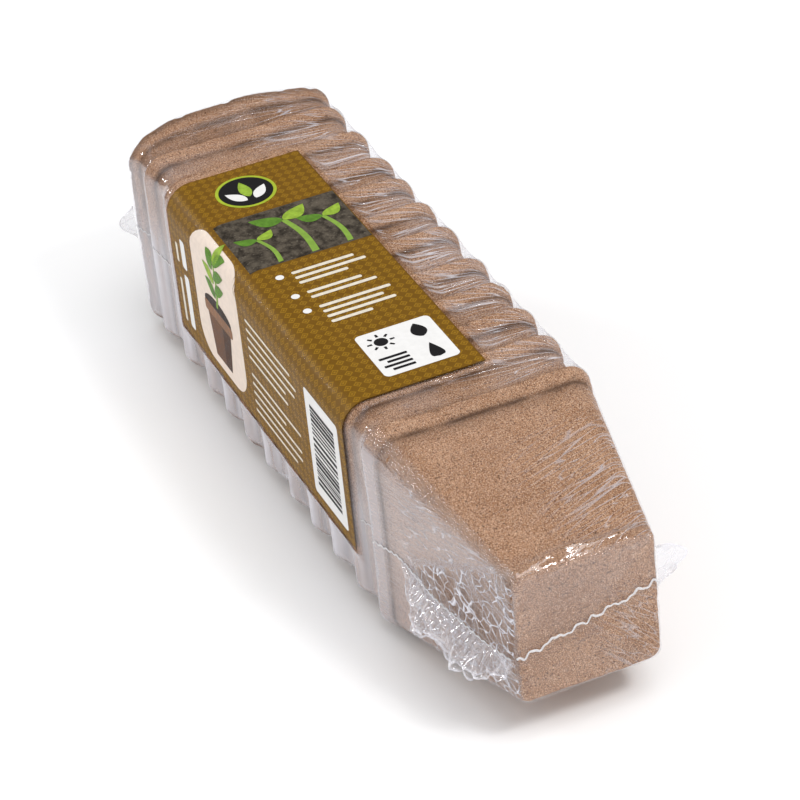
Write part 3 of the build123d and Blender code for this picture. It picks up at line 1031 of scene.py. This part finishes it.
def print_label():
    """Plain garden artwork without words: a badge, sprouts in soil, a potted plant, bars and signs."""
    ink = Print()
    top, fold, low = CARD_TOP_FLAT / MM, (CARD_TOP_FLAT + CARD_FOLD) / MM, CARD_WIDTH / MM
    front = CARD_LENGTH / MM

    ink.oval("lime", 17, 27, 11, layer=2)
    ink.oval("black", 17, 27, 9.8, layer=3)
    ink.leaf("bright_leaf", (21, 27), (10, 27), 4.4, layer=4)
    ink.leaf("white", (23, 28.6), (15.5, 34.5), 4.2, layer=4)
    ink.leaf("white", (23, 25.4), (15.5, 19.5), 4.2, layer=4)

    ink.panel("soil", 33, 68, 0.4, top + 4, layer=1)
    for place, height, size in ((8, 20, 1.0), (21, 25, 1.25), (34, 17, 0.85)):
        root, head = (67, place), (67 - height, place + 2)
        ink.stem("stem", root, head, 1.9 * size, layer=2, bend=1.5)
        ink.leaf("bright_leaf", head, (head[0] - 5 * size, head[1] - 8 * size), 5 * size, layer=4, bend=1.2)
        ink.leaf("leaf", head, (head[0] - 4 * size, head[1] + 9 * size), 5 * size, layer=3, bend=-1.2)

    at = 76.0
    for lines in ((23, 26, 18), (20, 24), (26, 22, 25, 15)):
        ink.oval("white", at + 0.4, 38.5, 1.5, layer=1)
        for length in lines:
            ink.panel("pale", at - 0.7, at + 0.9, 34 - length, 34, 0.6, layer=1)
            at += 3.5
        at += 3.4

    ink.panel("white", 124, 151, 5, 32, 2.0, layer=1)
    ink.leaf("black", (135, 11.5), (126.5, 11.5), 5.5, layer=2)
    ink.oval("black", 131, 25, 2.4, layer=2)
    for spoke in range(8):
        turn = math.pi / 4 * spoke
        ray = np.array([math.cos(turn), math.sin(turn)])
        ink.stem("black", (131, 25) + ray * 3.2, (131, 25) + ray * 4.9, 0.9, layer=2)
    ink.leaf("black", (148.5, 11.5), (139.5, 11.5), 5.0, layer=2, fullness=0.45)
    for row in range(4):
        ink.panel("black", 140 + 2.4 * row, 141.3 + 2.4 * row, 20, 30 - 2 * (row % 2), 0.3, layer=2)

    for start, end in ((fold + 5, fold + 17), (fold + 20, low - 5)):
        ink.panel("pale", 4.5, 6.6, start + 4, end, 0.7, layer=1)
        ink.panel("white", 10, 14.5, start, end, 1.2, layer=1)

    ink.panel("cream", 22, 66, fold - 9, low - 4, 11, layer=1)
    rim, foot, middle = fold + 18, low - 8, 44
    for colour, left, right in (("clay", -1.0, 0.25), ("clay_shade", 0.25, 1.0)):
        near = [(middle + left * 11.5, rim), (middle + left * 7.5, foot)]
        far = [(middle + right * 11.5, rim), (middle + right * 7.5, foot)]
        ink.patch(colour, near, far, 2)
    ink.oval("clay_inside", middle, rim - 0.5, 12.5, 4, layer=2)
    ink.panel("clay_light", middle - 13, middle + 13, rim, rim + 4.5, 1.2, layer=3)
    ink.stem("stem", (middle, rim - 2), (middle + 1, rim - 21), 1.4, layer=3, bend=1.5)
    for step, (reach, colour) in enumerate(((9, "leaf"), (10, "bright_leaf"), (8, "leaf"))):
        height = rim - 6 - 6 * step
        ink.leaf(colour, (middle, height), (middle - reach, height - 5), 4.6, layer=4, bend=0.8)
        ink.leaf("leaf", (middle, height - 2), (middle + reach, height - 7), 4.6, layer=4, bend=-0.8)
    ink.leaf("bright_leaf", (middle + 1, rim - 20), (middle + 1, rim - 29), 4.8, layer=4)

    chance = np.random.default_rng(7)
    for row in range(11):
        if row != 5:
            height = fold + 4 + 3.7 * row
            ink.panel("pale", 73, 73 + chance.uniform(30, 46), height, height + 1.1, 0.45, layer=1)

    ink.panel("white", front - 33, front - 5, fold + 1, low - 4, 1.5, layer=1)
    at = fold + 6
    while at < low - 9:
        bar = chance.choice((0.5, 0.9, 1.4))
        ink.panel("black", front - 29, front - 9, at, at + bar, layer=2)
        at += bar + chance.choice((0.5, 0.8, 1.2))
    ink.finish()


print_label()

# Stage, light and camera


WORLD_FILL = 0.6
WORLD_IN_GLOSS = 0.3


def make_stage():
    """A pale floor that keeps the shadow, under a white world."""
    bpy.ops.mesh.primitive_plane_add(size=8, location=(0, 0, -0.05 * MM))
    floor = bpy.context.object
    floor.name = "floor"
    n = new_material("floor")
    floor.data.materials.append(n.finish(n.plain("Diffuse", (0.95, 0.95, 0.955))))
    world = bpy.data.worlds.new("studio")
    bpy.context.scene.world = world
    n = Nodes(world, "ShaderNodeOutputWorld")
    path = n.add("ShaderNodeLightPath").outputs
    inputs = {"Value": path["Is Glossy Ray"], "To Min": WORLD_FILL, "To Max": WORLD_IN_GLOSS}
    strength = n.add("ShaderNodeMapRange", inputs).outputs["Result"]
    strength = n.math("MAXIMUM", path["Is Camera Ray"], strength)
    n.finish(n.add("ShaderNodeBackground", {"Color": (1, 1, 1, 1), "Strength": strength}).outputs[0])


def add_lamp(name, kind, power, towards, place=(0, 0, 0)):
    """A lamp at a place, shining in a direction. Returns its data."""
    data = bpy.data.lights.new(name, kind)
    data.energy = power
    lamp = bpy.data.objects.new(name, data)
    bpy.context.scene.collection.objects.link(lamp)
    lamp.location = place
    lamp.rotation_euler = towards.to_track_quat("-Z", "Y").to_euler()
    return data


def area_lamp(name, place, aim, size, power, colour=(1, 1, 1)):
    """A soft round lamp that looks at a point."""
    data = add_lamp(name, "AREA", power, Vector(aim) - Vector(place), place)
    data.shape = "DISK"
    data.size = size
    data.color = colour


def sun_lamp(name, source, strength, angle):
    """A broad distant lamp in the given direction, as even over the floor as over the pack."""
    add_lamp(name, "SUN", strength, -Vector(source)).angle = math.radians(angle)


def make_camera():
    """The photograph's view: long lens, a little rolled."""
    a, e = math.radians(CAMERA_AZIMUTH), math.radians(CAMERA_ELEVATION)
    back = Vector((math.sin(a) * math.cos(e), -math.cos(a) * math.cos(e), math.sin(e)))
    right = (-back).cross(Vector((0, 0, 1))).normalized()
    up = right.cross(-back)
    roll = math.radians(CAMERA_ROLL)
    right, up = right * math.cos(roll) + up * math.sin(roll), up * math.cos(roll) - right * math.sin(roll)
    data = bpy.data.cameras.new("photo_view")
    data.lens = CAMERA_LENS_MM
    data.clip_start, data.clip_end = 0.05, 50
    camera = bpy.data.objects.new("photo_view", data)
    bpy.context.scene.collection.objects.link(camera)
    turn = Matrix((right, up, back)).transposed().to_4x4()
    camera.matrix_world = Matrix.Translation(CAMERA_TARGET + back * CAMERA_DISTANCE) @ turn
    bpy.context.scene.camera = camera


make_stage()
sun_lamp("sky_key", (0.33, 0.12, 0.93), 1.05, 40)
area_lamp("key_box", (0.59, 0.31, 0.81), (0.08, 0, 0.04), 0.2, 2.6)
area_lamp("left_box", (0.2, -1.0, 0.6), (0, 0, 0.04), 0.8, 1.6, (0.96, 0.97, 1.0))
area_lamp("rear_box", (-0.95, -0.62, 0.42), (0, 0, 0.04), 0.2, 2.4)
make_camera()
bpy.context.scene.view_settings.view_transform = "Standard"
